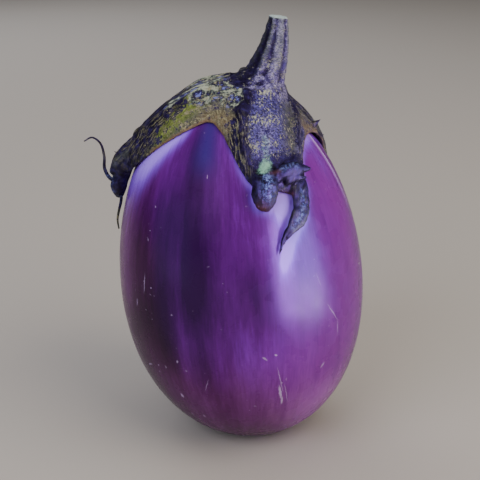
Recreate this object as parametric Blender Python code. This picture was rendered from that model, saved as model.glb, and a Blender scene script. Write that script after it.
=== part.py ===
"""A round purple eggplant standing upright: the fruit, its five-lobed calyx and the cut stem.

The origin is the centre of the flat spot that the fruit rests on, +Z runs up and the
front lobe of the calyx faces -Y.
"""
import math
import random

import bmesh
import bpy
import numpy as np
from mathutils import Vector

MM = 0.001

# Fruit: an egg of revolution, leaning a little to the left
FRUIT_RADIUS = 52.3 * MM
FRUIT_TOP = 153.0 * MM
FRUIT_FOOT = -3.0 * MM      # where the egg would end below the flat spot
TAPER = -0.080              # makes the lower half fuller than the upper
FULLNESS = 0.045            # rounds the shoulders
LEAN = -0.061               # sideways shift of a ring for each unit of height
FRUIT_SIDES = 60
FRUIT_RINGS = 30

# Chart of the calyx: millimetres to the right and to the back of the stem's root,
# measured along the skin and sent outward from a core point inside the fruit
CORE = np.array([0.0, 0.0, 85.0]) * MM
STEM_ROOT = np.array([4.5, 0.0, 148.5]) * MM
CHART_RADIUS = 60.0

# Calyx: outline as azimuth in degrees and distance in millimetres
OUTLINE = [
    (-133, 30.0), (-122, 31.0), (-115, 33.8), (-108, 38.2), (-101, 43.8), (-94, 48.6),  # front lobe
    (-86, 50.0), (-78, 49.5), (-70, 50.5), (-64, 49.5), (-59, 45.5), (-57.5, 39.0),
    (-54, 33.5), (-47, 28.5), (-37, 25.0), (-24, 23.5), (-12, 25.0), (-3, 28.7),        # right lobe
    (6, 32.0), (15, 35.5), (25, 43.0), (32, 52.0), (38, 59.0),
    (45, 50.0), (53, 37.0), (62, 27.5), (71, 36.0), (79, 49.0), (86, 59.0),             # two back lobes
    (93, 48.0), (101, 35.0), (110, 26.5), (120, 36.0), (128, 50.0), (134, 62.0),
    (141, 50.0), (149, 37.0), (158, 29.0), (168, 40.0), (174, 52.0), (178, 63.0),       # left lobe
    (184, 64.5), (190, 61.0), (198, 53.8), (206, 46.5), (215, 38.7),
]
CALYX_SIDES = 104
TOP_RINGS = 11
BOTTOM_RINGS = 10
SKIN_GAP = 0.35             # between the calyx and the skin, mm
EDGE = 0.8                  # thickness at the margin, mm
FLANGE = 1.7                # thickness just inside the margin, mm
BODY = 3.1                  # thickness over the middle, mm
RIB = 1.3                   # how far a rib stands up, mm
RIB_WIDTH = 2.2
RIBS = [
    [(-4.8, -7.0), (-7.2, -21.0), (-7.3, -33.0), (-5.7, -42.0), (-1.0, -47.5)],
    [(9.5, -4.0), (13.0, -9.0), (14.1, -17.5), (14.4, -30.0), (14.5, -40.0)],
    [(-8.0, -2.0), (-19.9, -7.5), (-30.0, -9.8), (-42.0, -8.5), (-50.0, -4.0)],
    [(-8.0, 4.0), (-20.0, 6.0), (-33.0, 6.5), (-46.0, 4.5), (-55.0, 2.0)],
]
PLAIN_LOBES = [(38, 59.0), (86, 59.0), (134, 62.0)]     # azimuth and reach of the lobes behind
LOBE_RIB_SPREAD = 6.0       # from a plain lobe's middle to each of its two ribs, mm

# Stem: ridged, swelling down to the calyx and cut square at the top
SEAT_HEIGHT = 158.0 * MM
STEM_TOP = 181.7 * MM
JOINT_GAP = 0.3 * MM
STEM_TIP_RADIUS = 3.7 * MM
STEM_SEAT_RADIUS = 8.8 * MM
STEM_TIP_X = 10.7 * MM
STEM_SEAT_X = 4.5 * MM
STEM_RIDGES = 7
RIDGE_DEPTH = 0.07          # part of the stem's radius
CUT_SLOPE = -0.12
STEM_SIDES = 28
STEM_RINGS = 9

PRICKLE_LENGTH = 3.6        # mm
PRICKLE_RADIUS = 1.0
SEED = 11


def smooth_step(x):
    x = np.clip(x, 0.0, 1.0)
    return x * x * (3.0 - 2.0 * x)


def skin_radius(z):
    """Radius of the fruit's ring at height z."""
    t = np.clip((2 * z - FRUIT_TOP - FRUIT_FOOT) / (FRUIT_TOP - FRUIT_FOOT), -1.0, 1.0)
    return FRUIT_RADIUS * np.sqrt(1.0 - t * t) * (1.0 + TAPER * t + FULLNESS * t * t)


def chart_axes():
    """Unit vectors up, right and back of the chart at the stem's root."""
    up = STEM_ROOT - CORE
    up = up / np.linalg.norm(up)
    right = np.array([1.0, 0.0, 0.0]) - up * up[0]
    right = right / np.linalg.norm(right)
    return up, right, np.cross(up, right)


def outward(x, y):
    """Direction from the core to the chart point (x, y), given in millimetres."""
    up, right, back = chart_axes()
    reach = np.maximum(np.hypot(x, y), 1e-9)
    angle = reach / CHART_RADIUS
    side = np.sin(angle) / reach
    return np.cos(angle)[..., None] * up + (side * x)[..., None] * right + (side * y)[..., None] * back


def place(x, y, height):
    """Point that stands the given height, in millimetres, over the skin at (x, y)."""
    x = np.asarray(x, float)
    y = np.asarray(y, float)
    way = outward(x, y)
    near = np.zeros(x.shape)
    far = np.full(x.shape, 2.0 * FRUIT_RADIUS)
    for _ in range(36):
        middle = (near + far) / 2.0
        point = CORE + middle[..., None] * way
        ring = np.hypot(point[..., 0] - LEAN * point[..., 2], point[..., 1])
        inside = (point[..., 2] < FRUIT_TOP) & (ring < skin_radius(point[..., 2]))
        near = np.where(inside, middle, near)
        far = np.where(inside, far, middle)
    return CORE + (near + np.asarray(height) * MM)[..., None] * way


def smooth_curve(points, count, closed=False):
    """Evenly spaced points on a Catmull-Rom curve through the given ones."""
    points = np.asarray(points, float)
    if closed:
        ends = np.vstack([points[-1:], points, points[:2]])
    else:
        ends = np.vstack([2 * points[0] - points[1], points, 2 * points[-1] - points[-2]])
    fine = []
    for a, b, c, d in zip(ends[:-3], ends[1:-2], ends[2:-1], ends[3:]):
        for t in np.linspace(0.0, 1.0, 20, endpoint=False):
            fine.append(0.5 * (2 * b + (c - a) * t + (2 * a - 5 * b + 4 * c - d) * t ** 2
                               + (3 * b - a - 3 * c + d) * t ** 3))
    fine.append(points[0] if closed else points[-1])
    fine = np.array(fine)
    length = np.concatenate([[0.0], np.cumsum(np.linalg.norm(np.diff(fine, axis=0), axis=1))])
    wanted = np.linspace(0.0, length[-1], count, endpoint=not closed)
    return np.stack([np.interp(wanted, length, fine[:, k]) for k in range(fine.shape[1])], axis=1)


def distance_to(line, x, y):
    """Distance of each point (x, y) to a line of points."""
    start, end = line[:-1], line[1:]
    step = end - start
    point = np.stack([x, y], axis=-1)[..., None, :]
    part = np.clip(((point - start) * step).sum(-1) / (step * step).sum(-1), 0.0, 1.0)
    return np.linalg.norm(point - start - part[..., None] * step, axis=-1).min(-1)


def ridge_wave(azimuth):
    """The stem's ridges, as a factor on its radius."""
    return 1.0 + RIDGE_DEPTH * np.cos(STEM_RIDGES * azimuth + 0.6)


def stem_centre(z):
    fall = (STEM_TOP - z) / (STEM_TOP - SEAT_HEIGHT)
    return STEM_TIP_X + (STEM_SEAT_X - STEM_TIP_X) * np.sign(fall) * abs(fall) ** 1.7


def stem_radius(z):
    fall = max(0.0, (STEM_TOP - z) / (STEM_TOP - SEAT_HEIGHT))
    return STEM_TIP_RADIUS + (STEM_SEAT_RADIUS - STEM_TIP_RADIUS) * fall ** 1.25


def clear_scene():
    for item in list(bpy.data.objects):
        bpy.data.objects.remove(item, do_unlink=True)


def make_material(name, colour, roughness):
    """A Principled material; colour is linear red, green and blue."""
    material = bpy.data.materials.new(name)
    material.use_nodes = True
    shader = material.node_tree.nodes["Principled BSDF"]
    shader.inputs["Base Color"].default_value = (*colour, 1.0)
    shader.inputs["Roughness"].default_value = roughness
    shader.inputs["Metallic"].default_value = 0.0
    material.diffuse_color = (*colour, 1.0)
    return material


def finish_object(bm, name, material=None):
    """Turn a bmesh into a smooth-shaded object with its faces pointing out."""
    bmesh.ops.recalc_face_normals(bm, faces=bm.faces[:])
    mesh = bpy.data.meshes.new(name)
    bm.to_mesh(mesh)
    bm.free()
    mesh.shade_smooth()
    mesh.set_sharp_from_angle(angle=math.radians(50))
    thing = bpy.data.objects.new(name, mesh)
    bpy.context.scene.collection.objects.link(thing)
    if material is not None:
        mesh.materials.append(material)
    return thing


def add_rings(bm, rings):
    """Join rings of equal length by quads; returns the vertex rings."""
    made = [[bm.verts.new(Vector(point)) for point in ring] for ring in rings]
    for lower, upper in zip(made, made[1:]):
        count = len(lower)
        for k in range(count):
            n = (k + 1) % count
            bm.faces.new((lower[k], lower[n], upper[n], upper[k]))
    return made


def close_with_point(bm, ring, point):
    tip = bm.verts.new(Vector(point))
    for k, vert in enumerate(ring):
        bm.faces.new((vert, ring[(k + 1) % len(ring)], tip))


def make_fruit(material):
    """The berry: one solid from its flat resting spot to its top."""
    turn = 2 * math.pi * np.arange(FRUIT_SIDES) / FRUIT_SIDES
    flat = math.acos((FRUIT_TOP + FRUIT_FOOT) / (FRUIT_TOP - FRUIT_FOOT))
    heights = [(FRUIT_TOP + FRUIT_FOOT - (FRUIT_TOP - FRUIT_FOOT) * math.cos(angle)) / 2
               for angle in np.linspace(flat, math.pi, FRUIT_RINGS + 1)[:-1]]
    heights[0] = 0.0
    rings = []
    for z in heights:
        radius = skin_radius(z)
        rings.append(np.stack([LEAN * z + radius * np.cos(turn), radius * np.sin(turn),
                               np.full(FRUIT_SIDES, z)], axis=1))
    bm = bmesh.new()
    made = add_rings(bm, rings)
    bm.faces.new(made[0])
    close_with_point(bm, made[-1], (LEAN * FRUIT_TOP, 0.0, FRUIT_TOP))
    return finish_object(bm, "fruit", material)


def plain_lobe_ribs():
    """Two ribs for each lobe behind, closing towards its tip."""
    ribs = []
    for azimuth, reach in PLAIN_LOBES:
        along = np.array([math.cos(math.radians(azimuth)), math.sin(math.radians(azimuth))])
        across = np.array([-along[1], along[0]])
        for side in (-1, 1):
            ribs.append([along * reach * part + across * side * LOBE_RIB_SPREAD * spread
                         for part, spread in ((0.16, 0.8), (0.35, 1.1), (0.6, 1.0), (0.88, 0.3))])
    return ribs


def calyx_height(x, y, margin_distance):
    """Height of the calyx's upper surface over the skin, in millimetres."""
    reach = np.hypot(x, y)
    height = EDGE + (FLANGE - EDGE) * smooth_step(margin_distance / 2.0)
    height += (BODY - FLANGE) * smooth_step((margin_distance - 1.5) / 6.0)
    rib = np.zeros_like(x)
    for line in RIBS + plain_lobe_ribs():
        distance = distance_to(smooth_curve(line, 24), x, y)
        rib = np.maximum(rib, np.exp(-(distance / RIB_WIDTH) ** 2))
    height += RIB * rib * smooth_step(margin_distance / 4.0) * smooth_step((reach - 8.0) / 5.0)
    front_pad = np.exp(-((x - 3.5) / 9.0) ** 2 - ((y + 26.0) / 15.0) ** 2)
    left_pad = smooth_step((-x - 26.0) / 32.0) * np.exp(-((y + 0.5) / 9.0) ** 2)
    height += 1.5 * front_pad + 3.0 * left_pad * smooth_step(margin_distance / 4.0)
    return height + 3.0 * np.exp(-(reach - 8.8) / 2.2)


def margin_lift(x, y, margin_distance):
    """How far the margin curls up off the skin, in millimetres."""
    right = np.exp(-((x - 29.0) / 9.0) ** 2 - ((y + 3.0) / 9.0) ** 2)
    left = np.exp(-((x + 62.0) / 9.0) ** 2)
    return (1.8 * right + 1.0 * left) * (1.0 - smooth_step(margin_distance / 7.0))


def calyx_body():
    """The leathery cap: a lobed sheet that thickens inward, with the stem's seat on top."""
    corners = [(reach * math.cos(math.radians(a)), reach * math.sin(math.radians(a)))
               for a, reach in OUTLINE]
    margin = smooth_curve(corners, CALYX_SIDES, closed=True)
    closed_margin = np.vstack([margin, margin[:1]])
    turn = np.arctan2(margin[:, 1], margin[:, 0])
    start = 9.6 / np.hypot(margin[:, 0], margin[:, 1])

    rings = []
    seat = STEM_SEAT_RADIUS * ridge_wave(turn)
    for z, swell in ((SEAT_HEIGHT, 1.0), (SEAT_HEIGHT - 3.2 * MM, 1.02)):
        rings.append(np.stack([stem_centre(z) + seat * swell * np.cos(turn),
                               seat * swell * np.sin(turn), np.full(CALYX_SIDES, z)], axis=1))
    for part in np.linspace(0.0, 1.0, TOP_RINGS) ** 0.85:
        scale = start + (1.0 - start) * part
        x, y = margin[:, 0] * scale, margin[:, 1] * scale
        distance = distance_to(closed_margin, x, y)
        height = calyx_height(x, y, distance) + margin_lift(x, y, distance)
        rings.append(place(x, y, height + SKIN_GAP))
    for scale in np.linspace(1.0, 0.0, BOTTOM_RINGS + 1)[:-1]:
        inset = scale * (1.0 - 0.004)
        x, y = margin[:, 0] * inset, margin[:, 1] * inset
        distance = distance_to(closed_margin, x, y)
        rings.append(place(x, y, margin_lift(x, y, distance) + SKIN_GAP))

    bm = bmesh.new()
    made = add_rings(bm, rings)
    bm.faces.new(made[0])
    close_with_point(bm, made[-1], place(0.0, 0.0, SKIN_GAP))
    return finish_object(bm, "calyx")


def sweep(name, points, outs, widths, heights, sides):
    """A closed solid along points: half a width across and half a height along outs."""
    rings = []
    for k, point in enumerate(points):
        ahead = points[min(k + 1, len(points) - 1)] - points[max(k - 1, 0)]
        ahead = ahead / np.linalg.norm(ahead)
        across = np.cross(ahead, outs[k])
        across = across / np.linalg.norm(across)
        up = np.cross(across, ahead)
        rings.append([point + across * widths[k] * MM * math.cos(a) + up * heights[k] * MM * math.sin(a)
                      for a in 2 * math.pi * np.arange(sides) / sides])
    first = points[0] + (points[0] - points[1]) * 0.3
    last = points[-1] + (points[-1] - points[-2]) * 0.3
    bm = bmesh.new()
    made = add_rings(bm, rings)
    close_with_point(bm, made[0], first)
    close_with_point(bm, made[-1], last)
    return finish_object(bm, name)


def lobe_end(name, route, count, sides):
    """A thick end of a lobe: route holds x, y, height, half width and half thickness in mm."""
    curve = smooth_curve(route, count)
    ahead = np.gradient(curve[:, :2], axis=0)
    ahead = ahead / np.linalg.norm(ahead, axis=1)[:, None]
    turn = 2 * math.pi * np.arange(sides) / sides
    rings = []
    for (x, y, height, wide, thick), (along_x, along_y) in zip(curve, ahead):
        across = wide * np.cos(turn)
        level = np.maximum(height + thick * np.sin(turn), SKIN_GAP)
        rings.append(place(x + along_y * across, y - along_x * across, level))
    bm = bmesh.new()
    made = add_rings(bm, rings)
    for ring, end, way in ((made[0], 0, -1.0), (made[-1], -1, 1.0)):
        x, y, height, wide, thick = curve[end]
        step = way * 0.4 * thick
        close_with_point(bm, ring, place(x + ahead[end][0] * step, y + ahead[end][1] * step, height))
    return finish_object(bm, name)


def tendril(name, route, thick, thin, count):
    """A drying thread of tissue through points in space, in millimetres."""
    points = smooth_curve(route, count) * MM
    taper = thick + (thin - thick) * np.linspace(0.0, 1.0, count)
    outs = np.tile(np.array([0.0, 1.0, 0.0]), (count, 1))
    return sweep(name, points, outs, taper, taper, 6)


def prickle(name, x, y, height, lean_x, lean_y, length):
    """A small cone on a lobe, leaning along the chart by the given part of its length."""
    foot = place(x, y, height)
    tip = place(x + lean_x * length, y + lean_y * length, height + length)
    way = tip - foot
    side = np.cross(way, np.array([0.3, 1.0, 0.2]))
    points = np.array([foot, foot + 0.5 * way, foot + 0.93 * way])
    outs = np.tile(side / np.linalg.norm(side), (3, 1))
    radii = PRICKLE_RADIUS * length / PRICKLE_LENGTH * np.array([1.0, 0.55, 0.12])
    return sweep(name, points, outs, radii, radii, 5)


def calyx_growths():
    """Nubs, tips, tendrils and prickles that grow out of the cap."""
    growths = [
        lobe_end("front_nub", [(4.5, -41.0, 2.6, 3.4, 1.8), (3.2, -46.5, 3.6, 5.4, 3.4),
                               (2.7, -51.0, 3.9, 6.1, 3.6), (2.6, -55.0, 3.4, 5.7, 3.0),
                               (2.6, -58.2, 2.4, 3.2, 1.7)], 10, 12),
        lobe_end("front_strip", [(18.2, -37.0, 1.9, 2.8, 1.3), (19.8, -43.0, 2.6, 4.6, 1.7),
                                 (22.2, -50.0, 2.7, 5.2, 1.8), (22.6, -54.5, 3.0, 4.9, 1.9),
                                 (20.8, -59.5, 3.2, 4.1, 1.9), (18.2, -64.5, 2.9, 2.5, 1.6),
                                 (16.2, -69.5, 2.1, 1.4, 1.0), (15.0, -76.8, 1.5, 0.5, 0.5)], 15, 10),
        lobe_end("fold", [(5.0, -46.0, 3.2, 1.7, 1.7), (9.0, -42.5, 4.6, 2.1, 2.0),
                          (13.5, -39.6, 5.2, 2.3, 2.3), (18.0, -37.4, 5.6, 1.5, 1.3),
                          (23.0, -35.2, 5.6, 0.3, 0.3)], 8, 7),
        lobe_end("fold_spur", [(11.5, -44.0, 3.6, 1.9, 1.6), (15.5, -41.4, 4.8, 1.5, 1.2),
                               (20.0, -38.6, 5.2, 0.3, 0.3)], 5, 6),
        lobe_end("left_lump", [(-50.0, 0.5, 2.6, 4.0, 2.0), (-57.0, 0.0, 3.8, 6.0, 4.2),
                               (-63.5, -0.8, 4.9, 6.2, 5.0), (-68.5, -1.2, 4.9, 4.4, 4.4)], 8, 12),
        lobe_end("left_nub", [(-64.5, -1.5, 3.4, 3.0, 2.4), (-69.0, -2.0, 3.9, 4.9, 3.4),
                              (-72.8, -2.5, 3.9, 4.7, 3.4), (-76.0, -3.0, 3.4, 2.2, 1.8)], 8, 12),
        tendril("curled_tendril", [(-55.5, -3.0, 113.0), (-59.3, -3.0, 115.4), (-61.2, -3.0, 119.5),
                                   (-61.1, -3.0, 124.5), (-62.3, -3.2, 130.0), (-65.6, -3.5, 132.8),
                                   (-68.9, -4.0, 131.4)], 0.9, 0.35, 16),
        tendril("hanging_tendril", [(-54.6, -3.0, 108.6), (-54.9, -3.4, 105.0), (-55.9, -3.6, 101.0),
                                    (-56.6, -3.8, 97.0), (-56.2, -4.0, 93.2)], 0.75, 0.40, 9),
        prickle("prickle_left", -60.5, -1.0, 7.4, -0.2, 0.1, 3.2),
        prickle("prickle_right", 22.5, 2.0, 2.2, 0.5, -0.3, 5.0),
        prickle("prickle_shoulder", 13.0, -1.0, 3.0, 0.3, -0.4, 2.2),
    ]
    draw = random.Random(SEED)
    for azimuth, reach in PLAIN_LOBES:
        angle = math.radians(azimuth)
        along = np.array([math.cos(angle), math.sin(angle)])
        across = np.array([-along[1], along[0]])
        bend = draw.uniform(-3.0, 3.0)
        route = [(*(along * (reach + step) + across * bend * swing), height, width, width * 0.6)
                 for step, swing, height, width in ((-12, 0.0, 1.6, 3.6), (-4, 0.1, 2.2, 2.8),
                                                    (3, 0.5, 3.0, 1.7), (8, 1.2, 3.6, 0.5))]
        growths.append(lobe_end(f"tip_{azimuth}", route, 7, 7))
        for part in (0.35, 0.62):
            side = draw.choice((-1, 1)) * LOBE_RIB_SPREAD
            foot = along * reach * (part + draw.uniform(-0.05, 0.05)) + across * side
            growths.append(prickle(f"prickle_{azimuth}_{part}", foot[0], foot[1], 2.4,
                                   0.4 * along[0], 0.4 * along[1], draw.uniform(2.4, PRICKLE_LENGTH)))
    return growths


def make_calyx(material):
    """Join the cap and everything that grows out of it into one body."""
    cap = calyx_body()
    growths = bpy.data.collections.new("calyx_growths")
    bpy.context.scene.collection.children.link(growths)
    for piece in calyx_growths():
        bpy.context.scene.collection.objects.unlink(piece)
        growths.objects.link(piece)
    union = cap.modifiers.new("grown_together", "BOOLEAN")
    union.operation = "UNION"
    union.operand_type = "COLLECTION"
    union.collection = growths
    union.solver = "EXACT"
    bpy.context.view_layer.objects.active = cap
    cap.select_set(True)
    bpy.ops.object.modifier_apply(modifier=union.name)
    for piece in list(growths.objects):
        bpy.data.objects.remove(piece, do_unlink=True)
    bpy.data.collections.remove(growths)
    cap.data.materials.clear()
    cap.data.materials.append(material)
    return cap


def make_stem(material):
    """The cut stalk, ridged all the way down to its seat on the calyx."""
    turn = 2 * math.pi * np.arange(STEM_SIDES) / STEM_SIDES
    foot = SEAT_HEIGHT + JOINT_GAP
    rings = []
    for part in np.linspace(0.0, 1.0, STEM_RINGS):
        z = foot + (STEM_TOP - foot) * part
        radius = stem_radius(z) * ridge_wave(turn)
        x = stem_centre(z) + radius * np.cos(turn)
        tilt = CUT_SLOPE * (x - STEM_TIP_X) * part ** 3
        rings.append(np.stack([x, radius * np.sin(turn), z + tilt], axis=1))
    bm = bmesh.new()
    made = add_rings(bm, rings)
    bm.faces.new(made[0])
    bm.faces.new(made[-1])
    return finish_object(bm, "stem", material)


clear_scene()
make_fruit(make_material("purple_skin", (0.110, 0.030, 0.230), 0.25))
make_calyx(make_material("calyx_leather", (0.070, 0.065, 0.090), 0.60))
make_stem(make_material("stem_bark", (0.060, 0.045, 0.085), 0.60))
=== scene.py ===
import math
import random

import bmesh
import bpy
import numpy as np
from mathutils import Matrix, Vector, noise


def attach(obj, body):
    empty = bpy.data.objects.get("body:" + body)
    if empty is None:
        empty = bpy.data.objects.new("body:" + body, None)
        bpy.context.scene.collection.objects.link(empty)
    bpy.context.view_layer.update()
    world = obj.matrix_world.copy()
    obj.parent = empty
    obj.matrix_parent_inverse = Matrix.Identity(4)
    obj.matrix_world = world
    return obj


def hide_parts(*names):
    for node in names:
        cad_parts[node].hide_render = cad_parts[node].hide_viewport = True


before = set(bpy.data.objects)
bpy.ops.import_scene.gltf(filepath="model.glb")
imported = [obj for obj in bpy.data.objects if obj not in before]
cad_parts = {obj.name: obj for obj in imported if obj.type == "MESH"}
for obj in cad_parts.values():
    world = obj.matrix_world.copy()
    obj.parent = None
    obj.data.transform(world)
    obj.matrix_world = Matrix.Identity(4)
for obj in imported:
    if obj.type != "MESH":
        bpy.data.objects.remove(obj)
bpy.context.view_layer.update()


# The viewpoint: a hand-held camera in front of the fruit, a little above it and
# looking down, close enough that the cap is seen from the front and slightly from above.
CAMERA_PLACE = (-0.0047, -0.420, 0.243)
CAMERA_DIP = 20.45          # degrees below the horizon
CAMERA_LENS = 78.0          # mm on a 36 mm frame

camera = bpy.data.objects.new("camera", bpy.data.cameras.new("camera"))
camera.data.sensor_width = 36.0
camera.data.lens = CAMERA_LENS
camera.location = CAMERA_PLACE
camera.rotation_euler = (math.radians(90.0 - CAMERA_DIP), 0.0, 0.0)
bpy.context.scene.collection.objects.link(camera)
bpy.context.scene.camera = camera


# The fruit: one berry, a thin waxy skin over pale spongy flesh. It is broad and round,
# leans a little to the left and stands on the flattened end where the flower was.
# Sizes are in millimetres and turn to metres when the mesh is made.
FRUIT_RADIUS = 52.3
FRUIT_TOP = 153.0
FRUIT_FOOT = -3.0           # where the egg would end below the flat spot
TAPER = -0.080
FULLNESS = 0.045
LEAN = -0.061
FLAT_SOFTNESS = 1.1         # how softly the side turns into the flat spot
FRUIT_AROUND = 400
FRUIT_UP = 220
MAP_RADIUS = 50.0           # the skin unrolled: mm of arc per radian
SHARP_EDGE = 60.0           # degrees between faces that make an edge sharp


def smooth_step(x):
    x = np.clip(x, 0.0, 1.0)
    return x * x * (3.0 - 2.0 * x)


def skin_radius(z):
    """Radius of the fruit's ring at height z."""
    t = np.clip((2 * z - FRUIT_TOP - FRUIT_FOOT) / (FRUIT_TOP - FRUIT_FOOT), -1.0, 1.0)
    return FRUIT_RADIUS * np.sqrt(1.0 - t * t) * (1.0 + TAPER * t + FULLNESS * t * t)


def degrees_apart(azimuth, other):
    return (azimuth - other + 180.0) % 360.0 - 180.0


def swell(value, middle, width):
    """A soft bump of height one."""
    return np.exp(-((value - middle) / width) ** 2)


def in_scene(name, data):
    """A new object in the scene, for a mesh or a lamp."""
    made = bpy.data.objects.new(name, data)
    bpy.context.scene.collection.objects.link(made)
    return made


def smooth_piece(name, mesh):
    """A mesh in the scene, shaded smooth but for its sharp edges."""
    mesh.shade_smooth()
    mesh.set_sharp_from_angle(angle=math.radians(SHARP_EDGE))
    return in_scene(name, mesh)


def new_piece(name, verts, faces):
    """A smooth-shaded piece from points in millimetres."""
    mesh = bpy.data.meshes.new(name)
    mesh.from_pydata((np.asarray(verts) * 0.001).tolist(), [], faces)
    return smooth_piece(name, mesh)


def ring_faces(rings, around):
    """Quads between neighbouring rings of points, numbered ring by ring."""
    return [(r * around + k, r * around + (k + 1) % around,
             (r + 1) * around + (k + 1) % around, (r + 1) * around + k)
            for r in range(rings - 1) for k in range(around)]


def fan(first, around, tip, turned):
    """Triangles that close a ring on one point."""
    pairs = [(first + k, first + (k + 1) % around) for k in range(around)]
    return [(b, a, tip) if turned else (a, b, tip) for a, b in pairs]


def paint(piece, name, values):
    """Store a number, or a row of three, at each point for the material to read."""
    values = np.asarray(values, np.float32)
    kind, field = ("FLOAT", "value") if values.ndim == 1 else ("FLOAT_VECTOR", "vector")
    layer = piece.data.attributes.new(name, kind, "POINT")
    layer.data.foreach_set(field, values.ravel())


around = 2 * math.pi * np.arange(FRUIT_AROUND) / FRUIT_AROUND
climb = np.linspace(0.0, math.pi, FRUIT_UP + 2)[1:-1]
azimuth, climb = np.meshgrid(around, climb)
height = (FRUIT_TOP + FRUIT_FOOT - (FRUIT_TOP - FRUIT_FOOT) * np.cos(climb)) / 2
facing = (np.degrees(azimuth) + 270.0) % 360.0 - 270.0      # -90 faces the camera, the seam is behind

# Shallow flutes, and a thin crease that runs down from the cap on the right.
flutes = 0.30 * np.cos(5 * azimuth + 0.5) + 0.18 * np.cos(3 * azimuth - 1.0)
flutes = flutes * np.sin(climb) * smooth_step((height - 20.0) / 60.0)
crease = swell(degrees_apart(facing, -13.0 + 0.12 * (130.0 - height)), 0.0, 1.5)
crease = crease * smooth_step((height - 98.0) / 25.0) * smooth_step((150.0 - height) / 15.0)
ring = skin_radius(height) + flutes + 0.5 * crease
lift = (np.sqrt(height ** 2 + FLAT_SOFTNESS ** 2) + height) / 2
lift += swell(ring, 0.0, 3.5) * (height < 0.0)
skin_points = np.stack([LEAN * height + ring * np.cos(azimuth), ring * np.sin(azimuth), lift], axis=-1)
verts = np.vstack([skin_points.reshape(-1, 3), [[0.0, 0.0, 1.1]], [[LEAN * FRUIT_TOP, 0.0, FRUIT_TOP]]])
last = FRUIT_AROUND * FRUIT_UP
faces = ring_faces(FRUIT_UP, FRUIT_AROUND)
faces += fan(0, FRUIT_AROUND, last, True)
faces += fan(last - FRUIT_AROUND, FRUIT_AROUND, last + 1, False)
fruit = new_piece("fruit_skin", verts, faces)
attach(fruit, "root")
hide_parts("fruit")

# Colour of the skin, worked out at each point. Depth runs from 0, pale, to 1, nearly black.
# A band holds its azimuth, half width in degrees, lowest and highest point, and depth.
SKIN_BANDS = [
    (-112.0, 9.0, 72.0, 142.0, 0.40), (-125.0, 7.0, 48.0, 118.0, 0.36), (-109.0, 5.5, 40.0, 106.0, 0.30),
    (-139.0, 9.0, 60.0, 120.0, 0.30), (-97.0, 8.0, 45.0, 122.0, 0.11), (-83.0, 7.0, 74.0, 92.0, 0.26),
    (-118.0, 2.5, 40.0, 105.0, -0.12), (-77.0, 6.0, 92.0, 106.0, -0.12), (-30.0, 17.0, 20.0, 130.0, -0.20),
    (-67.0, 6.0, 76.0, 92.0, 0.22), (-92.0, 8.0, 4.0, 36.0, 0.06), (-160.0, 9.0, 40.0, 120.0, -0.06),
    (-46.0, 22.0, 4.0, 34.0, -0.38), (-148.0, 16.0, 8.0, 66.0, 0.30), (-72.0, 26.0, 14.0, 64.0, -0.25),
    (-130.0, 9.0, 50.0, 84.0, 0.16),
]
MEAN_DEPTH = 0.50
BAND_FADE = 12.0            # mm, to each side of a band's end
draw = random.Random(5)
for step in range(16):
    low = draw.uniform(15.0, 60.0)
    SKIN_BANDS.append((2.0 + step * 11.5 + draw.uniform(-4.0, 4.0), draw.uniform(3.0, 10.0), low,
                       low + draw.uniform(40.0, 90.0), draw.uniform(-0.18, 0.30)))


def at_every_point(field):
    """A field's grid as one list, with values for the two closing points."""
    flat = field.ravel()
    return np.concatenate([flat, [flat[0], flat[-1]]])


depth = np.full(height.shape, MEAN_DEPTH)
for band, half_width, low, high, amount in SKIN_BANDS:
    side = swell(degrees_apart(facing, band), 0.0, half_width)
    risen = smooth_step((height - low + BAND_FADE) / (2 * BAND_FADE))
    fade = risen * smooth_step((high + BAND_FADE - height) / (2 * BAND_FADE))
    depth += amount * side * fade

# Blush turns the violet to magenta, plum turns it browner towards the foot.
blush = 0.15 + 0.65 * swell(degrees_apart(facing, -28.0), 0.0, 40.0)
blush += 0.55 * smooth_step((70.0 - height) / 50.0)
blush += 0.20 * swell(degrees_apart(facing, 90.0), 0.0, 60.0)
blush += 0.40 * swell(degrees_apart(facing, -145.0), 0.0, 14.0)
plum = 1.25 * smooth_step((72.0 - height) / 56.0) + 0.9 * swell(degrees_apart(facing, -162.0), 0.0, 20.0)
plum *= 1.0 - 0.8 * swell(degrees_apart(facing, -44.0), 0.0, 32.0)
plum += 0.75 * swell(degrees_apart(facing, -137.0), 0.0, 12.0) * smooth_step((118.0 - height) / 30.0)

# The grain's own place is squeezed lengthwise, so noise read there makes long streaks.
along_grain = 0.055 * (height + 80.0 * climb)
grain = np.stack([MAP_RADIUS * np.cos(azimuth), MAP_RADIUS * np.sin(azimuth), along_grain], axis=-1)
unrolled = np.stack([np.radians(facing + 90.0) * MAP_RADIUS, height, 0.0 * height], axis=-1)
for name, field in {"depth": depth, "blush": blush, "plum": plum, "crease": crease}.items():
    paint(fruit, name, at_every_point(field))
paint(fruit, "grain", np.vstack([grain.reshape(-1, 3), [[0, 0, -50]], [[0, 0, 50]]]))
paint(fruit, "unrolled", np.vstack([unrolled.reshape(-1, 3), [[0, -9, 0]], [[0, 160, 0]]]))


def colour(code):
    """Linear red, green, blue and alpha of an sRGB hex colour."""
    parts = [int(code[k:k + 2], 16) / 255 for k in (1, 3, 5)]
    return tuple(p / 12.92 if p <= 0.04045 else ((p + 0.055) / 1.055) ** 2.4 for p in parts) + (1.0,)


def feed(tree, node, inputs):
    """Set each input of a node, or link it where the value comes from another node."""
    for name, value in inputs.items():
        if isinstance(value, bpy.types.NodeSocket):
            tree.links.new(value, node.inputs[name])
        else:
            node.inputs[name].default_value = value


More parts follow.
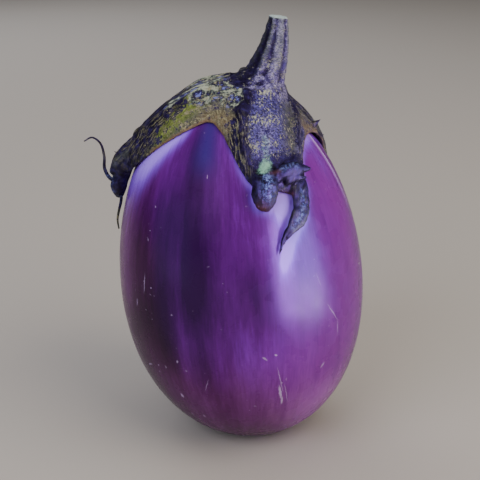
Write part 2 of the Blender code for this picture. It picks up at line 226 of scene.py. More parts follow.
def add(tree, kind, inputs, output=0, stops=(), **settings):
    """Add a shader node with its settings and inputs, and give one of its outputs.
    Stops are the places and hex colours of a colour ramp."""
    made = tree.nodes.new("ShaderNode" + kind)
    for name, value in settings.items():
        setattr(made, name, value)
    for place, _ in stops[2:]:
        made.color_ramp.elements.new(place)
    for k, (place, code) in enumerate(stops):
        made.color_ramp.elements[k].position = place
        made.color_ramp.elements[k].color = colour(code)
    feed(tree, made, inputs)
    return made.outputs[output]


def millimetres(tree):
    """Place on the piece in millimetres."""
    place = add(tree, "TexCoord", {}, "Object")
    return add(tree, "VectorMath", {0: place, "Scale": 1000.0}, operation="SCALE")


def new_material(name):
    """An empty Principled material and its node tree."""
    material = bpy.data.materials.new(name)
    material.use_nodes = True
    return material, material.node_tree, material.node_tree.nodes["Principled BSDF"]


# Scars and flecks where the skin was rubbed or split and healed with pale cork. Each holds
# its azimuth, height, half length and half width in mm, lean from upright in degrees, strength.
SKIN_MARKS = [
    (-44.8, 69.0, 5.6, 0.26, 32.0, 0.9), (-41.5, 61.2, 3.6, 0.22, 2.0, 0.7),
    (-51.9, 84.7, 3.2, 0.18, 15.0, 0.5), (-73.2, 37.6, 4.0, 0.62, 10.0, 0.85),
    (-72.0, 33.0, 2.4, 0.55, 4.0, 0.8), (-73.4, 44.0, 7.0, 0.19, 12.0, 0.6),
    (-70.0, 36.5, 5.6, 0.19, 12.0, 0.6), (-137.2, 81.0, 4.2, 0.26, -4.0, 0.45),
    (-143.6, 71.0, 1.8, 0.32, -8.0, 0.4), (-50.6, 46.2, 1.5, 0.45, -35.0, 0.6),
    (-75.6, 56.6, 0.7, 0.45, 60.0, 0.8), (-80.6, 55.4, 1.3, 0.45, 50.0, 0.6),
    (-125.8, 31.2, 1.1, 0.85, 10.0, 0.6), (-122.0, 50.0, 0.8, 0.45, -20.0, 0.5),
    (-143.6, 41.8, 1.9, 0.42, -62.0, 0.5), (-14.0, 80.6, 2.0, 0.50, 70.0, 0.5),
    (-108.6, 41.0, 3.4, 0.18, -22.0, 0.4), (-117.0, 21.0, 0.9, 0.60, 30.0, 0.45),
    (-104.6, 126.0, 0.8, 0.28, 0.0, 0.6), (60.0, 74.0, 3.6, 0.30, 18.0, 0.6),
    (118.0, 52.0, 2.2, 0.50, -24.0, 0.6),
]


def healed_marks(tree, place):
    """How much of the skin is pale cork: thin ellipses on the unrolled skin, frayed a little."""
    fray = add(tree, "TexNoise", {"Vector": place, "Scale": 0.9, "Detail": 3.0}, "Color")
    fray = add(tree, "VectorMath", {0: fray, 1: (0.8, 0.8, 0.0), 2: (-0.4, -0.4, 0.0)},
               operation="MULTIPLY_ADD")
    sheet = add(tree, "Attribute", {}, "Vector", attribute_name="unrolled")
    sheet = add(tree, "VectorMath", {0: sheet, 1: fray}, operation="ADD")
    total = None
    for azimuth, z, half_length, half_width, lean, strength in SKIN_MARKS:
        x = math.radians(azimuth + 90.0) * MAP_RADIUS
        local = add(tree, "Mapping",
                    {"Vector": sheet, "Location": (x, z, 0.0), "Rotation": (0.0, 0.0, math.radians(lean)),
                     "Scale": (half_width, half_length, 1.0)}, vector_type="TEXTURE")
        away = add(tree, "VectorMath", {0: local}, "Value", operation="LENGTH")
        mark = add(tree, "MapRange",
                   {"Value": away, "From Min": 1.25, "From Max": 0.45, "To Min": 0.0, "To Max": strength},
                   interpolation_type="SMOOTHSTEP")
        total = mark if total is None else add(tree, "Math", {0: total, 1: mark}, operation="MAXIMUM")
    return total


# Waxy aubergine skin: purple cells under a clear cuticle. It grew lengthwise, so its colour
# lies in long streaks, and the cuticle gives broad, soft-edged reflections.
waxy_skin, tree, shader = new_material("waxy_aubergine_skin")
place = millimetres(tree)
long_grain = add(tree, "Attribute", {}, "Vector", attribute_name="grain")
tone = add(tree, "Math",
           {0: add(tree, "TexNoise", {"Vector": long_grain, "Scale": 1 / 9.0, "Detail": 2.0}, "Fac"),
            1: 0.26, 2: add(tree, "Attribute", {}, "Fac", attribute_name="depth")},
           operation="MULTIPLY_ADD")
tone = add(tree, "Math",
           {0: add(tree, "TexNoise",
                   {"Vector": long_grain, "Scale": 1 / 2.8, "Detail": 3.0, "Roughness": 0.6}, "Fac"),
            1: 0.34, 2: tone}, operation="MULTIPLY_ADD")
tone = add(tree, "Math",
           {0: add(tree, "TexNoise",
                   {"Vector": long_grain, "Scale": 1 / 0.7, "Detail": 3.0, "Roughness": 0.6}, "Fac"),
            1: 0.24, 2: tone}, operation="MULTIPLY_ADD")
tone = add(tree, "Math", {0: tone, 1: 0.43}, operation="SUBTRACT")
violet, magenta, mauve = [
    add(tree, "ValToRGB", {"Fac": tone}, stops=[(0.25 * step, code) for step, code in enumerate(codes)])
    for codes in (("#9f50d9", "#75269d", "#54126b", "#3c0a4f", "#2a083a"),
                  ("#a456b5", "#822e97", "#691880", "#4d0b58", "#36083e"),
                  ("#8a5286", "#6e326c", "#501848", "#360c30", "#240622"))]
blushed = add(tree, "Math",
              {0: add(tree, "TexNoise", {"Vector": long_grain, "Scale": 1 / 6.0, "Detail": 2.0}, "Fac"),
               1: 0.5, 2: add(tree, "Attribute", {}, "Fac", attribute_name="blush")},
              operation="MULTIPLY_ADD")
skin_colour = add(tree, "Mix",
                  {0: add(tree, "MapRange", {"Value": blushed, "From Min": 0.35, "From Max": 1.15},
                          interpolation_type="SMOOTHSTEP"), 6: violet, 7: magenta}, 2, data_type="RGBA")
dusky = add(tree, "Math",
            {0: add(tree, "TexNoise", {"Vector": long_grain, "Scale": 1 / 5.0, "Detail": 3.0}, "Fac"),
             1: 0.5, 2: add(tree, "Attribute", {}, "Fac", attribute_name="plum")},
            operation="MULTIPLY_ADD")
skin_colour = add(tree, "Mix",
                  {0: add(tree, "MapRange",
                          {"Value": dusky, "From Min": 0.30, "From Max": 1.25, "To Min": 0.0,
                           "To Max": 0.85}, interpolation_type="SMOOTHSTEP"), 6: skin_colour, 7: mauve},
                  2, data_type="RGBA")
bluing = add(tree, "Math", {0: add(tree, "Attribute", {}, "Fac", attribute_name="indigo"), 1: 0.85},
             operation="MULTIPLY")
skin_colour = add(tree, "Mix", {0: bluing, 6: skin_colour, 7: colour("#33206a")}, 2, data_type="RGBA")
# Pale skin beside the cap, and the streak of painted reflection, turn the colour towards lavender.
paleness = add(tree, "TexNoise", {"Vector": long_grain, "Scale": 1 / 1.6, "Detail": 3.0, "Roughness": 0.6},
            "Fac")
paleness = add(tree, "MapRange",
            {"Value": add(tree, "Math",
                          {0: paleness, 1: 0.30,
                           2: add(tree, "Attribute", {}, "Fac", attribute_name="pale_skin_and_reflection")},
                          operation="MULTIPLY_ADD"), "From Min": 0.20, "From Max": 1.05},
            interpolation_type="SMOOTHSTEP")
lavender = add(tree, "ValToRGB", {"Fac": paleness},
               stops=[(0.0, "#6a2f9a"), (0.40, "#804cce"), (0.70, "#905be8"), (1.0, "#aa80f6")])
skin_colour = add(tree, "Mix", {0: paleness, 6: skin_colour, 7: lavender}, 2, data_type="RGBA")
# A thin pale painted highlight along the raised crease on the right.
ridge_highlight = add(tree, "Math", {0: add(tree, "Attribute", {}, "Fac", attribute_name="crease"), 1: 0.75},
             operation="MULTIPLY")
skin_colour = add(tree, "Mix", {0: ridge_highlight, 6: skin_colour, 7: colour("#c9a6e8")}, 2, data_type="RGBA")
mark = healed_marks(tree, place)
fleck = add(tree, "Math",
            {0: add(tree, "MapRange",
                    {"Value": add(tree, "TexNoise", {"Vector": place, "Scale": 1 / 1.5, "Detail": 0.0},
                                  "Fac"), "From Min": 0.78, "From Max": 0.84},
                    interpolation_type="SMOOTHSTEP"),
             1: add(tree, "MapRange",
                    {"Value": add(tree, "TexNoise", {"Vector": place, "Scale": 1 / 14.0, "Detail": 1.0},
                                  "Fac"), "From Min": 0.56, "From Max": 0.68},
                    interpolation_type="SMOOTHSTEP")}, operation="MULTIPLY")
mark = add(tree, "Math", {0: mark, 1: add(tree, "Math", {0: fleck, 1: 0.5}, operation="MULTIPLY")},
           operation="MAXIMUM")
skin_colour = add(tree, "Mix", {0: mark, 6: skin_colour, 7: colour("#c3a9cf")}, 2, data_type="RGBA")
dull = add(tree, "TexNoise", {"Vector": place, "Scale": 1 / 7.0, "Detail": 2.0}, "Fac")
roughness = add(tree, "Math",
                {0: mark, 1: 0.25,
                 2: add(tree, "MapRange",
                        {"Value": dull, "From Min": 0.3, "From Max": 0.7, "To Min": 0.24, "To Max": 0.32},
                        interpolation_type="SMOOTHSTEP")}, operation="MULTIPLY_ADD")
ripple = add(tree, "Math",
             {0: add(tree, "TexNoise", {"Vector": long_grain, "Scale": 1 / 1.8, "Detail": 2.0}, "Fac"),
              1: 0.8}, operation="MULTIPLY")
ripple = add(tree, "Math", {0: mark, 1: 0.5, 2: ripple}, operation="MULTIPLY_ADD")
bump = add(tree, "Bump", {"Strength": 0.08, "Distance": 0.0003, "Height": ripple})
feed(tree, shader, {"Base Color": skin_colour, "Roughness": roughness, "Normal": bump,
                    "IOR": 1.46, "Specular IOR Level": 0.22})
fruit.data.materials.append(waxy_skin)


# The cap and stalk: the leathery calyx that held the flower, and the stalk that it hung by.
# They grew as one, so they are shaped together and parted where the stalk begins.

# A chart lays the cap out flat: millimetres to the right and to the back of the stalk's
# root, measured along the skin and sent outward from a core point inside the fruit.
CORE = np.array([0.0, 0.0, 85.0])
STEM_ROOT = np.array([4.5, 0.0, 148.5])
CHART_RADIUS = 60.0
OUTLINE = [
    (-133, 30.0), (-122, 31.0), (-115, 33.8), (-108, 38.2), (-101, 43.8), (-94, 48.6),  # front lobe
    (-86, 50.0), (-78, 49.5), (-70, 50.5), (-64, 49.5), (-59, 45.5), (-57.5, 39.0),
    (-54, 33.5), (-47, 28.5), (-37, 25.0), (-24, 23.5), (-12, 25.0), (-3, 28.7),        # right lobe
    (6, 32.0), (15, 35.5), (25, 43.0), (32, 52.0), (38, 59.0),
    (45, 50.0), (53, 37.0), (62, 27.5), (71, 36.0), (79, 49.0), (86, 59.0),             # two back lobes
    (93, 48.0), (101, 35.0), (110, 26.5), (120, 36.0), (128, 50.0), (134, 62.0),
    (141, 50.0), (149, 37.0), (158, 29.0), (168, 40.0), (174, 52.0), (178, 63.0),       # left lobe
    (184, 64.5), (190, 61.0), (198, 53.8), (206, 46.5), (215, 38.7),
]
CAP_AROUND = 360
CAP_TOP_RINGS = 64
CAP_BOTTOM_RINGS = 20
SKIN_GAP = 0.35
EDGE = 0.8                  # thickness at the margin
FLANGE = 1.7                # thickness just inside the margin
BODY = 3.1                  # thickness over the middle
RIB = 1.5
RIB_WIDTH = 1.9
RIBS = [
    [(-4.8, -7.0), (-7.6, -21.0), (-8.0, -32.0), (-6.2, -41.2), (-2.5, -46.5)],
    [(8.5, -1.5), (12.8, -8.2), (14.4, -17.5), (15.4, -28.0), (15.0, -38.0)],
    [(-8.0, -2.0), (-19.9, -7.5), (-30.0, -9.8), (-42.0, -8.5), (-50.0, -4.0)],
    [(-8.0, 4.0), (-20.0, 6.0), (-33.0, 6.5), (-46.0, 4.5), (-55.0, 2.0)],
]
PLAIN_LOBES = [(38, 59.0), (86, 59.0), (134, 62.0)]     # azimuth and reach of the lobes behind
LOBE_RIB_SPREAD = 6.0
STEM_PART = 158.15          # height where the cap ends and the stalk begins
STEM_TOP = 181.7
STEM_ROOT_HEIGHT = 150.5    # the stalk starts inside the cap
STEM_SIDES = 144
STEM_LEVELS = 70
END_SIDES = 28
THREAD_SIDES = 12
STEM_TIP_RADIUS = 3.7
STEM_SEAT_RADIUS = 8.8
STEM_TIP_X = 10.7
STEM_SEAT_X = 4.5
STEM_SEAT = 158.0
CUT_SLOPE = -0.12
GROWTH_CELL = 0.0005        # grain of the grown-together surface, metres


def chart_axes():
    """Unit vectors up, right and back of the chart at the stalk's root."""
    up = STEM_ROOT - CORE
    up = up / np.linalg.norm(up)
    right = np.array([1.0, 0.0, 0.0]) - up * up[0]
    right = right / np.linalg.norm(right)
    return up, right, np.cross(up, right)


def outward(x, y):
    """Direction from the core to the chart point (x, y)."""
    up, right, back = chart_axes()
    reach = np.maximum(np.hypot(x, y), 1e-9)
    side = np.sin(reach / CHART_RADIUS) / reach
    middle = np.cos(reach / CHART_RADIUS)
    return middle[..., None] * up + (side * x)[..., None] * right + (side * y)[..., None] * back


def skin_distance(way):
    """How far the skin is from the core along each direction."""
    near = np.zeros(way.shape[:-1])
    far = np.full(way.shape[:-1], 2.0 * FRUIT_RADIUS)
    for _ in range(30):
        middle = (near + far) / 2.0
        point = CORE + middle[..., None] * way
        ring = np.hypot(point[..., 0] - LEAN * point[..., 2], point[..., 1])
        inside = (point[..., 2] < FRUIT_TOP) & (ring < skin_radius(point[..., 2]))
        near = np.where(inside, middle, near)
        far = np.where(inside, far, middle)
    return near


def stand(x, y, height):
    """Point that stands the given height over the skin at the chart point (x, y)."""
    x = np.asarray(x, float)
    y = np.asarray(y, float)
    way = outward(x, y)
    return CORE + (skin_distance(way) + height)[..., None] * way


def to_chart(points):
    """Chart point below each point in space."""
    up, right, back = chart_axes()
    way = points - CORE
    way = way / np.linalg.norm(way, axis=-1, keepdims=True)
    reach = CHART_RADIUS * np.arccos(np.clip(way @ up, -1.0, 1.0))
    turn = np.arctan2(way @ back, way @ right)
    return reach * np.cos(turn), reach * np.sin(turn)


def smooth_curve(points, count, closed=False):
    """Evenly spaced points on a Catmull-Rom curve through the given ones."""
    points = np.asarray(points, float)
    if closed:
        ends = np.vstack([points[-1:], points, points[:2]])
    else:
        ends = np.vstack([2 * points[0] - points[1], points, 2 * points[-1] - points[-2]])
    fine = []
    for a, b, c, d in zip(ends[:-3], ends[1:-2], ends[2:-1], ends[3:]):
        for t in np.linspace(0.0, 1.0, 24, endpoint=False):
            fine.append(0.5 * (2 * b + (c - a) * t + (2 * a - 5 * b + 4 * c - d) * t ** 2
                               + (3 * b - a - 3 * c + d) * t ** 3))
    fine.append(points[0] if closed else points[-1])
    fine = np.array(fine)
    length = np.concatenate([[0.0], np.cumsum(np.linalg.norm(np.diff(fine, axis=0), axis=1))])
    wanted = np.linspace(0.0, length[-1], count, endpoint=not closed)
    return np.stack([np.interp(wanted, length, fine[:, k]) for k in range(fine.shape[1])], axis=1)


def distance_to(line, x, y):
    """Distance of each point (x, y) to a line of points."""
    line = np.asarray(line, float)
    start, step = line[:-1], np.diff(line, axis=0)
    flat = np.stack([np.ravel(x), np.ravel(y)], axis=-1)
    nearest = np.empty(len(flat))
    for k in range(0, len(flat), 4000):
        point = flat[k:k + 4000, None, :]
        part = np.clip(((point - start) * step).sum(-1) / (step * step).sum(-1), 0.0, 1.0)
        nearest[k:k + 4000] = np.linalg.norm(point - start - part[..., None] * step, axis=-1).min(-1)
    return nearest.reshape(np.shape(x))


def lobe_axes(azimuth):
    """Unit vectors along and across a lobe of the given azimuth, in the chart."""
    angle = math.radians(azimuth)
    return np.array([math.cos(angle), math.sin(angle)]), np.array([-math.sin(angle), math.cos(angle)])


all_ribs = [smooth_curve(line, 24) for line in RIBS]
for azimuth_of_lobe, reach_of_lobe in PLAIN_LOBES:
    along, across = lobe_axes(azimuth_of_lobe)
    for side in (-1, 1):
        all_ribs.append(smooth_curve(
            [along * reach_of_lobe * part + across * side * LOBE_RIB_SPREAD * spread
             for part, spread in ((0.16, 0.8), (0.35, 1.1), (0.6, 1.0), (0.88, 0.3))], 24))

corners = [lobe_axes(turn)[0] * reach for turn, reach in OUTLINE]
margin = smooth_curve(corners, CAP_AROUND, closed=True)
closed_margin = np.vstack([margin, margin[:1]])


def rib_nearness(x, y, width):
    """One on a rib, falling to nothing beside it."""
    near = np.zeros(np.shape(x))
    for line in all_ribs:
        near = np.maximum(near, np.exp(-(distance_to(line, x, y) / width) ** 2))
    return near


def cap_height(x, y, inset):
    """Height of the cap's upper surface over the skin; inset is the distance to the margin."""
    reach = np.hypot(x, y)
    height = EDGE + (FLANGE - EDGE) * smooth_step(inset / 2.0)
    height += (BODY - FLANGE) * smooth_step((inset - 1.5) / 6.0)
    rib = rib_nearness(x, y, RIB_WIDTH) * smooth_step(inset / 4.0) * smooth_step((reach - 8.0) / 5.0)
    front_pad = swell(x, 3.5, 9.0) * swell(y, -26.0, 15.0)
    left_pad = smooth_step((-x - 26.0) / 32.0) * swell(y, -0.5, 9.0)
    height = height + RIB * rib + 1.5 * front_pad + 3.0 * left_pad * smooth_step(inset / 4.0)
    return height + np.minimum(3.0 * np.exp(-(reach - 8.8) / 2.2), 5.0)


def margin_lift(x, y, inset):
    """How far the margin curls up off the skin."""
    right = swell(x, 27.0, 8.0) * swell(y, -3.0, 9.0)
    left = swell(x, -62.0, 9.0)
    return (1.6 * right + 1.0 * left) * (1.0 - smooth_step(inset / 7.0))


def stem_centre(z):
    fall = (STEM_TOP - z) / (STEM_TOP - STEM_SEAT)
    return STEM_TIP_X + (STEM_SEAT_X - STEM_TIP_X) * np.sign(fall) * np.abs(fall) ** 1.7


def stem_radius(z):
    fall = np.maximum(0.0, (STEM_TOP - z) / (STEM_TOP - STEM_SEAT))
    return STEM_TIP_RADIUS + (STEM_SEAT_RADIUS - STEM_TIP_RADIUS) * fall ** 1.25


def stem_ridges(turn, part):
    """Ridges of the stalk, winding a little: about -1 in a valley to 1 on a crest."""
    twist = turn + 0.25 * part
    main = 0.62 * np.cos(7 * twist + 0.6) + 0.26 * np.cos(11 * twist + 2.0)
    return main + 0.2 * np.cos(4 * twist - 1.0)


def sweep(name, rings, first, last):
    """A closed body from equal rings of points and a point that closes each end."""
    sides = len(rings[0])
    verts = np.vstack(list(rings) + [np.reshape(first, (1, 3)), np.reshape(last, (1, 3))])
    count = sides * len(rings)
    faces = ring_faces(len(rings), sides) + fan(0, sides, count, True)
    faces += fan(count - sides, sides, count + 1, False)
    return new_piece(name, verts, faces)


def cap_sheet():
    """The lobed sheet of the cap as one closed body."""
    rings = []
    for part in np.linspace(0.02, 1.0, CAP_TOP_RINGS) ** 0.9:
        x, y = margin[:, 0] * part, margin[:, 1] * part
        inset = distance_to(closed_margin, x, y)
        rings.append(stand(x, y, cap_height(x, y, inset) + margin_lift(x, y, inset) + SKIN_GAP))
    for part in np.linspace(0.996, 0.02, CAP_BOTTOM_RINGS):
        x, y = margin[:, 0] * part, margin[:, 1] * part
        inset = distance_to(closed_margin, x, y)
        rings.append(stand(x, y, margin_lift(x, y, inset) + SKIN_GAP))
    return sweep("cap_sheet", rings, rings[0].mean(0), rings[-1].mean(0))


def stalk_body():
    """The ridged stalk, from inside the cap up to its cut end."""
    turn = 2 * math.pi * np.arange(STEM_SIDES) / STEM_SIDES
    rings = []
    for part in np.linspace(0.0, 1.0, STEM_LEVELS):
        z = STEM_ROOT_HEIGHT + (STEM_TOP - STEM_ROOT_HEIGHT) * part
        radius = stem_radius(z) * (1.0 + 0.085 * stem_ridges(turn, part))
        x = stem_centre(z) + radius * np.cos(turn)
        tilt = CUT_SLOPE * (x - STEM_TIP_X) * part ** 3
        rings.append(np.stack([x, radius * np.sin(turn), z + tilt], axis=1))
    return sweep("stalk_body", rings, rings[0].mean(0), rings[-1].mean(0))


def lobe_end(name, route, count=40, channel=0.0):
    """A thick end of a lobe: route holds x, y, height, half width and half thickness.
    A channel sinks a groove along its upper side."""
    curve = smooth_curve(route, count)
    ahead = np.gradient(curve[:, :2], axis=0)
    ahead = ahead / np.linalg.norm(ahead, axis=1)[:, None]
    turn = 2 * math.pi * np.arange(END_SIDES) / END_SIDES
    groove = channel * np.exp(-(np.cos(turn) / 0.45) ** 2) * (np.sin(turn) > 0.0)
    rings = []
    for (x, y, height, wide, thick), (along_x, along_y) in zip(curve, ahead):
        side = wide * np.cos(turn)
        level = np.maximum(height + thick * (np.sin(turn) - groove), SKIN_GAP)
        rings.append(stand(x + along_y * side, y - along_x * side, level))
    tips = []
    for end, way in ((0, -1.0), (-1, 1.0)):
        x, y, height, wide, thick = curve[end]
        step = way * 0.4 * thick
        tips.append(stand(x + ahead[end][0] * step, y + ahead[end][1] * step, height))
    return sweep(name, rings, tips[0], tips[1])


def tube(name, points, radii):
    """A round, tapering thread through points in space."""
    points = np.asarray(points, float)
    ahead = np.gradient(points, axis=0)
    ahead = ahead / np.linalg.norm(ahead, axis=1)[:, None]
    across = np.cross(ahead, np.array([0.12, 1.0, 0.05]))
    across = across / np.linalg.norm(across, axis=1)[:, None]
    up = np.cross(across, ahead)
    turn = 2 * math.pi * np.arange(THREAD_SIDES) / THREAD_SIDES
    rings = [point + radius * (np.cos(turn)[:, None] * a + np.sin(turn)[:, None] * b)
             for point, radius, a, b in zip(points, radii, across, up)]
    return sweep(name, rings, points[0] - ahead[0] * radii[0] * 0.5, points[-1] + ahead[-1] * radii[-1])


def prickle(x, y, height, lean_x, lean_y, length, stout=0.26):
    """A sharp cone whose foot spreads into the lobe; stout is its foot's radius over its length."""
    foot, tip = stand(np.array([x, x + lean_x * length]), np.array([y, y + lean_y * length]),
                      np.array([height, height + length]))
    parts = np.linspace(0.0, 0.97, 14)
    radii = length * (stout * (1.0 - parts) ** 1.4 + 0.02)
    return tube("prickle", foot + parts[:, None] * (tip - foot), radii)


def settled_mesh(piece):
    """The piece's mesh with its modifiers worked in."""
    return bpy.data.meshes.new_from_object(piece.evaluated_get(bpy.context.evaluated_depsgraph_get()))


def grow_together(pieces):
    """Melt overlapping closed bodies into one even, slightly rounded surface."""
    joined = bmesh.new()
    for piece in pieces:
        joined.from_mesh(piece.data)
        bpy.data.objects.remove(piece, do_unlink=True)
    mesh = bpy.data.meshes.new("growth")
    joined.to_mesh(mesh)
    joined.free()
    growth = in_scene("growth", mesh)
    remesh = growth.modifiers.new("even", "REMESH")
    remesh.mode = "VOXEL"
    remesh.voxel_size = GROWTH_CELL
    soften = growth.modifiers.new("soften", "SMOOTH")
    soften.factor = 0.5
    soften.iterations = 2
    settled = settled_mesh(growth)
    growth.modifiers.clear()
    growth.data = settled
    return growth


def points_of(piece):
    """The piece's points in millimetres."""
    flat = np.empty(len(piece.data.vertices) * 3, np.float32)
    piece.data.vertices.foreach_get("co", flat)
    return flat.reshape(-1, 3).astype(float) * 1000.0


def weave_of(points):
    """Place along the tissue's own grain: it runs out along each lobe and up the stalk."""
    x, y = to_chart(points)
    axes = [(-83.0, 0.0), (180.0, 1.0)]
    axes += [(azimuth, 2.0 + k) for k, (azimuth, _) in enumerate(PLAIN_LOBES)]
    turn = np.degrees(np.arctan2(y, x))
    nearest = np.argmin([np.abs(degrees_apart(turn, azimuth)) for azimuth, _ in axes], axis=0)
    weave = np.zeros((len(x), 3))
    for k, (azimuth, shift) in enumerate(axes):
        along, across = lobe_axes(azimuth)
        mine = nearest == k
        weave[mine] = np.stack([(x * along[0] + y * along[1]) / 2.6, x * across[0] + y * across[1],
                                np.full(len(x), 40.0 * shift)], axis=1)[mine]
    tall = (points[:, 2] > 154.5) & (np.hypot(x, y) < 12.0)
    turn_up = np.arctan2(points[:, 1], points[:, 0] - stem_centre(points[:, 2]))
    weave[tall] = np.stack([points[:, 2] * 1.3, 3.6 * turn_up, np.full(len(x), 300.0)], axis=1)[tall]
    return weave


def wrinkle(points, size, seed):
    """Smooth noise between -1 and 1 at each point."""
    shift = Vector((seed * 7.3, seed * 3.1, seed * 5.7))
    return np.array([noise.noise(Vector(point) / size + shift) for point in points])


solid_parts = [
    cap_sheet(),
    stalk_body(),
    lobe_end("front_nub", [(4.5, -41.0, 2.6, 3.4, 1.8), (3.2, -46.5, 3.6, 5.4, 3.4),
                           (2.7, -51.0, 3.9, 6.1, 3.6), (2.6, -55.0, 3.4, 5.7, 3.0),
                           (2.6, -58.2, 2.4, 3.2, 1.7)]),
    lobe_end("front_strip", [(18.2, -37.0, 1.9, 2.8, 1.3), (19.8, -43.0, 2.6, 4.6, 1.7),
                             (22.2, -50.0, 2.7, 5.2, 1.8), (22.6, -54.5, 3.0, 4.9, 1.9),
                             (20.8, -59.5, 3.2, 4.1, 1.9), (18.2, -64.5, 2.9, 2.5, 1.6),
                             (16.2, -69.5, 2.1, 1.4, 1.0), (15.0, -76.8, 1.5, 0.5, 0.5)],
             count=60, channel=0.5),
    lobe_end("fold", [(5.0, -46.0, 3.2, 1.9, 1.9), (9.0, -43.0, 4.8, 2.5, 2.3),
                      (13.5, -40.2, 5.6, 2.8, 2.6), (18.0, -37.9, 6.1, 1.8, 1.5),
                      (22.2, -35.8, 6.2, 0.5, 0.5)]),
    lobe_end("fold_spur", [(11.5, -44.5, 3.6, 2.2, 1.8), (15.5, -42.4, 5.0, 1.8, 1.5),
                           (21.0, -40.2, 5.6, 0.5, 0.5)]),
    lobe_end("left_lump", [(-50.0, 0.5, 2.6, 4.0, 2.0), (-57.0, 0.0, 3.8, 6.0, 4.2),
                           (-63.5, -0.8, 4.9, 6.2, 5.0), (-68.5, -1.2, 4.9, 4.4, 4.4)]),
    lobe_end("left_nub", [(-64.5, -1.5, 3.4, 3.0, 2.4), (-69.0, -2.0, 3.9, 4.9, 3.4),
                          (-72.8, -2.5, 3.9, 4.7, 3.4), (-76.0, -3.0, 3.4, 2.2, 1.8)]),
]
thin_parts = [
    tube("curled_thread", smooth_curve([(-55.5, -3.0, 113.0), (-59.3, -3.0, 115.4), (-61.2, -3.0, 119.5),
                                        (-61.1, -3.0, 124.5), (-62.3, -3.2, 130.0), (-65.6, -3.5, 132.8),
                                        (-68.9, -4.0, 131.4)], 60), np.linspace(0.9, 0.30, 60)),
    tube("hanging_thread", smooth_curve([(-54.6, -3.0, 108.6), (-54.9, -3.4, 105.0), (-55.9, -3.6, 101.0),
                                         (-56.6, -3.8, 97.0), (-56.2, -4.0, 93.2)], 40),
         np.linspace(0.75, 0.35, 40)),
    prickle(-60.5, -1.0, 7.4, -0.2, 0.1, 3.2),
    prickle(22.5, 0.0, 1.8, 0.35, -0.3, 5.4, 0.46),
    prickle(13.0, -1.0, 3.0, 0.3, -0.4, 2.2),
]
draw = random.Random(11)
for azimuth_of_lobe, reach_of_lobe in PLAIN_LOBES:
    along, across = lobe_axes(azimuth_of_lobe)
    bend = draw.uniform(-3.0, 3.0)
    route = [(*(along * (reach_of_lobe + step) + across * bend * swing), height, width, width * 0.6)
             for step, swing, height, width in ((-12, 0.0, 1.6, 3.6), (-4, 0.1, 2.2, 2.8),
                                                (3, 0.5, 3.0, 1.7), (8, 1.2, 3.6, 0.5))]
    solid_parts.append(lobe_end("lobe_tip", route))
    for part in (0.35, 0.62):
        side = draw.choice((-1, 1)) * LOBE_RIB_SPREAD
        foot = along * reach_of_lobe * (part + draw.uniform(-0.05, 0.05)) + across * side
        thin_parts.append(prickle(foot[0], foot[1], 2.4, 0.4 * along[0], 0.4 * along[1],
                                  draw.uniform(2.4, 3.6)))

growth = grow_together(solid_parts)
points = points_of(growth)
normals = np.empty(len(points) * 3, np.float32)
growth.data.vertices.foreach_get("normal", normals)
normals = normals.reshape(-1, 3)
chart_x, chart_y = to_chart(points)

# Wrinkles: fine ones everywhere, deeper ones on the lobes' curled ends and rings round the stalk.
gnarled = np.maximum(smooth_step((-chart_y - 38.0) / 6.0), smooth_step((-chart_x - 44.0) / 8.0))
rise = 0.16 * wrinkle(points, 2.6, 1) + 0.22 * wrinkle(weave_of(points), 1.5, 2)
rise += 0.30 * gnarled * wrinkle(points, 2.2, 3)
rise += 0.26 * gnarled * wrinkle(weave_of(points), 1.1, 4)
ringed = smooth_step((points[:, 2] - 153.0) / 6.0)
ringed *= smooth_step((15.0 - np.hypot(chart_x, chart_y)) / 4.0)
rise += 0.26 * ringed * wrinkle(points * (0.4, 0.4, 1.0), 1.1, 5)
level_cut = smooth_step((STEM_TOP - 1.0 - points[:, 2]) / 1.5)
over_skin = np.linalg.norm(points - CORE, axis=1) - skin_distance(outward(chart_x, chart_y))
outer = smooth_step((over_skin - 0.5) / 0.8)
points = points + normals * (rise * level_cut * outer)[:, None]
growth.data.vertices.foreach_set("co", (points * 0.001).astype(np.float32).ravel())
growth.data.update()
for piece in thin_parts:
    union = growth.modifiers.new("grown_on", "BOOLEAN")
    union.operation = "UNION"
    union.object = piece
    union.solver = "MANIFOLD"
whole = settled_mesh(growth)
for piece in thin_parts + [growth]:
    bpy.data.objects.remove(piece, do_unlink=True)


def half_of(mesh, name, keep_above):
    """The part of a closed mesh above or below the cap's upper end, closed again there."""
    cut = bmesh.new()
    cut.from_mesh(mesh)
    seam = bmesh.ops.bisect_plane(cut, geom=cut.verts[:] + cut.edges[:] + cut.faces[:],
                                  plane_co=(0.0, 0.0, STEM_PART * 0.001), plane_no=(0.0, 0.0, 1.0),
                                  clear_outer=not keep_above, clear_inner=keep_above)
    rim = [item for item in seam["geom_cut"] if isinstance(item, bmesh.types.BMEdge)]
    bmesh.ops.edgenet_fill(cut, edges=rim)
    bmesh.ops.triangulate(cut, faces=[face for face in cut.faces if len(face.verts) > 4])
    bmesh.ops.recalc_face_normals(cut, faces=cut.faces[:])
    half = bpy.data.meshes.new(name)
    cut.to_mesh(half)
    cut.free()
    return smooth_piece(name, half)


